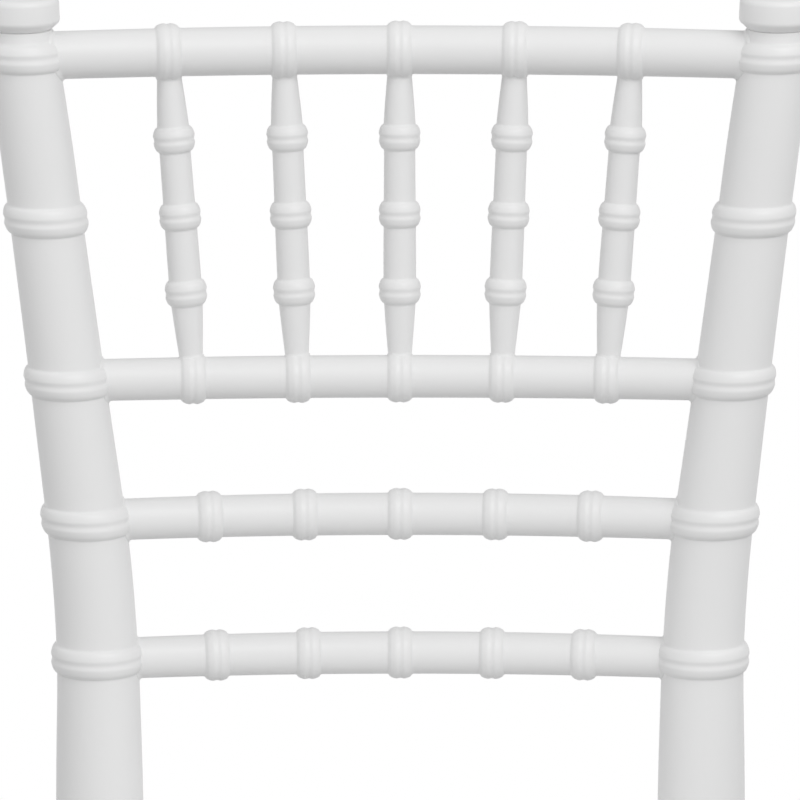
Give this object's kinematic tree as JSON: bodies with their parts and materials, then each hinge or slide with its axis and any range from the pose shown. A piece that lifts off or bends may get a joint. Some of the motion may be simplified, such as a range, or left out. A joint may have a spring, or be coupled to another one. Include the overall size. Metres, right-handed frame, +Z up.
{
  "type": "chiavari chair",
  "caption": "Stacking-style dining chair with ringed round posts, bowed back rails, turned spindles, a flat seat and ringed legs with arched braces.",
  "frame": {"origin": "on the floor, under the middle of the chair's bounding box", "axes": "+Z up, +Y from the front of the seat towards the back, +X to the right as seen from the front"},
  "size_m": [0.415, 0.4872, 0.9214],
  "materials": {
    "white_resin": "satin moulded",
    "glide_nylon": "matt",
    "zinc_steel": "zinc plated"
  },
  "bodies": {
    "root": {"crest_rail": "white_resin", "second_rail": "white_resin", "third_rail": "white_resin", "lowest_rail": "white_resin", "spindle_1": "white_resin", "spindle_2": "white_resin", "spindle_3": "white_resin", "spindle_4": "white_resin", "spindle_5": "white_resin", "back_post_left": "white_resin", "back_post_right": "white_resin", "finial_cap_left": "white_resin", "finial_cap_right": "white_resin", "front_leg_left": "white_resin", "front_leg_right": "white_resin", "front_brace_left": "white_resin", "front_brace_right": "white_resin", "side_front_brace_left": "white_resin", "side_front_brace_right": "white_resin", "side_rear_brace_left": "white_resin", "side_rear_brace_right": "white_resin", "rear_brace_left": "white_resin", "rear_brace_right": "white_resin", "upper_side_stretcher_left": "white_resin", "upper_side_stretcher_right": "white_resin", "lower_side_stretcher_left": "white_resin", "lower_side_stretcher_right": "white_resin", "side_seat_rail_left": "white_resin", "side_seat_rail_right": "white_resin", "front_glide_left": "glide_nylon", "front_glide_right": "glide_nylon", "rear_glide_left": "glide_nylon", "rear_glide_right": "glide_nylon", "front_stretcher": "white_resin", "rear_stretcher": "white_resin", "front_seat_rail": "white_resin", "rear_seat_rail": "white_resin", "seat_panel": "white_resin", "frame_bolts": "zinc_steel", "barrel_nuts": "zinc_steel", "bolt_caps": "white_resin", "seat_screws": "zinc_steel"}
  },
  "joints": []
}
